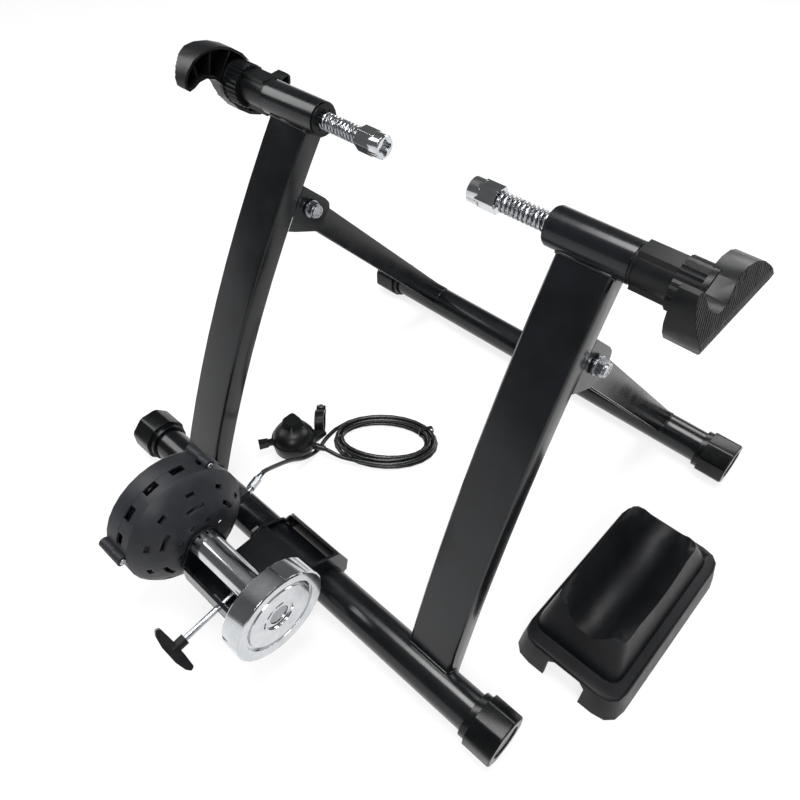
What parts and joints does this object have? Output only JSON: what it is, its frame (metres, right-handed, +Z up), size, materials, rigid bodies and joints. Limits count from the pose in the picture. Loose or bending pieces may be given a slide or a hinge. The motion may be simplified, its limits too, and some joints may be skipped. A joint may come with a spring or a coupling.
{
  "type": "folding turbo trainer",
  "caption": "Folding turbo trainer: arched uprights with screw clamps for a rear axle, hinged rear leg, braked roller with flywheel, remote shifter on a cable, and a riser block.",
  "frame": {"origin": "on the floor, under the middle of the bounding box of everything but the cable", "axes": "+X along the floor tubes towards the riser block, +Y towards the rear leg, +Z up"},
  "size_m": [0.6004, 0.6026, 0.4295],
  "materials": {
    "powder_coat": "matt black powder coat",
    "black_plastic": "black moulded nylon, fine grain",
    "foot_plastic": "black rubbery plastic",
    "drum_plastic": "charcoal moulded plastic, fine grain",
    "chrome": "polished chrome plate",
    "zinc_steel": "bright zinc plate",
    "machined_steel": "ground steel",
    "aluminium": "milled",
    "cable_jacket": "black satin cable jacket"
  },
  "bodies": {
    "main_frame": {"base_tube": "powder_coat", "left_upright": "powder_coat", "right_upright": "powder_coat", "left_clamp_sleeve": "powder_coat", "right_clamp_sleeve": "powder_coat", "left_pivot_bracket": "powder_coat", "right_pivot_bracket": "powder_coat", "unit_mount_bracket": "powder_coat", "front_left_foot": "foot_plastic", "front_right_foot": "foot_plastic", "left_spindle_bush": "black_plastic", "right_spindle_bush": "black_plastic", "left_clamp_body": "black_plastic", "right_clamp_body": "black_plastic", "left_pivot_bolt": "zinc_steel", "right_pivot_bolt": "zinc_steel", "left_pivot_nut": "zinc_steel", "right_pivot_nut": "zinc_steel", "unit_pivot_bolt": "zinc_steel", "unit_pivot_nut": "zinc_steel", "shifter_body": "black_plastic", "shifter_clamp_band": "black_plastic", "shifter_clamp_screw": "zinc_steel", "left_spindle_spring": "zinc_steel", "right_spindle_spring": "zinc_steel", "cable_run": "cable_jacket", "cable_coil": "cable_jacket", "cable_tail": "cable_jacket"},
    "left_collar": {"left_lock_collar": "black_plastic"},
    "right_collar": {"right_lock_collar": "black_plastic"},
    "left_plunger": {"left_spindle": "zinc_steel", "left_axle_cup": "chrome"},
    "right_plunger": {"right_spindle": "zinc_steel", "right_axle_cup": "chrome"},
    "left_handle": {"left_clamp_lever": "black_plastic"},
    "right_handle": {"right_clamp_lever": "black_plastic"},
    "rear_leg": {"rear_tube": "powder_coat", "left_leg_arm": "powder_coat", "right_leg_arm": "powder_coat", "rear_left_foot": "foot_plastic", "rear_right_foot": "foot_plastic"},
    "resistance_unit": {"roller_frame": "powder_coat", "drum_inner_shell": "drum_plastic", "drum_outer_shell": "drum_plastic", "left_bearing": "machined_steel", "right_bearing": "machined_steel", "barrel_adjuster": "zinc_steel", "adjuster_trunnion": "zinc_steel"},
    "tyre_screw": {"adjuster_rod": "zinc_steel", "adjuster_grip": "black_plastic"},
    "roller_set": {"roller_shaft": "machined_steel", "roller": "chrome", "flywheel": "chrome", "rotor_disc": "aluminium"},
    "magnet_carriage": {"magnet_carrier": "zinc_steel"},
    "shift_lever": {"shifter_lever": "black_plastic"},
    "riser": {"riser_block": "black_plastic"}
  },
  "joints": [
    {"name": "rear_leg_fold", "type": "hinge", "parent": "main_frame", "child": "rear_leg", "pos_m": [-0.02675, 0.02584, 0.3034], "axis": [-1, 0, 0], "range_deg": [0, 60]},
    {"name": "unit_swing", "type": "hinge", "parent": "main_frame", "child": "resistance_unit", "pos_m": [-0.02675, -0.16315, 0.0485], "axis": [-1, 0, 0], "range_deg": [0, 34], "deforming": ["cable_run"]},
    {"name": "adjuster_turn", "type": "hinge", "parent": "resistance_unit", "child": "tyre_screw", "pos_m": [-0.02675, -0.29415, 0.05117], "axis": [0, 0.9929, 0.1191], "range_deg": [0, 2880]},
    {"name": "roller_spin", "type": "hinge", "parent": "resistance_unit", "child": "roller_set", "pos_m": [-0.02675, -0.21715, 0.0916], "axis": [1, 0, 0], "continuous": true},
    {"name": "magnet_shift", "type": "slide", "parent": "resistance_unit", "child": "magnet_carriage", "axis": [1, 0, 0], "range_m": [0, 0.005]},
    {"name": "shifter_lever_turn", "type": "hinge", "parent": "main_frame", "child": "shift_lever", "pos_m": [-0.16025, -0.03716, 0.0185], "axis": [0, 0, 1], "range_deg": [0, 50]},
    {"name": "left_lever_turn", "type": "hinge", "parent": "main_frame", "child": "left_handle", "pos_m": [-0.27175, 0.03834, 0.391], "axis": [-1, 0, 0], "range_deg": [0, 720]},
    {"name": "left_spindle_travel", "type": "slide", "parent": "main_frame", "child": "left_plunger", "axis": [-1, 0, 0], "range_m": [0, 0.02], "deforming": ["left_spindle_spring"]},
    {"name": "left_lock_collar_turn", "type": "hinge", "parent": "main_frame", "child": "left_collar", "pos_m": [-0.25675, 0.03834, 0.391], "axis": [-1, 0, 0], "range_deg": [0, 360]},
    {"name": "right_lever_turn", "type": "hinge", "parent": "main_frame", "child": "right_handle", "pos_m": [0.21825, 0.03834, 0.391], "axis": [1, 0, 0], "range_deg": [0, 720]},
    {"name": "right_spindle_travel", "type": "slide", "parent": "main_frame", "child": "right_plunger", "axis": [1, 0, 0], "range_m": [0, 0.02], "deforming": ["right_spindle_spring"]},
    {"name": "right_lock_collar_turn", "type": "hinge", "parent": "main_frame", "child": "right_collar", "pos_m": [0.20325, 0.03834, 0.391], "axis": [1, 0, 0], "range_deg": [0, 360]},
    {"name": "riser_lift", "type": "slide", "parent": "main_frame", "child": "riser", "axis": [0, 0, 1], "range_m": [0, 0.05]}
  ],
  "couplings": [
    {"joint": "adjuster_turn", "follows": "unit_swing", "ratio": 84.621},
    {"joint": "shifter_lever_turn", "follows": "magnet_shift", "rad_per_m": 174},
    {"joint": "left_spindle_travel", "follows": "left_lever_turn", "m_per_rad": 0.00159},
    {"joint": "right_spindle_travel", "follows": "right_lever_turn", "m_per_rad": 0.00159}
  ]
}
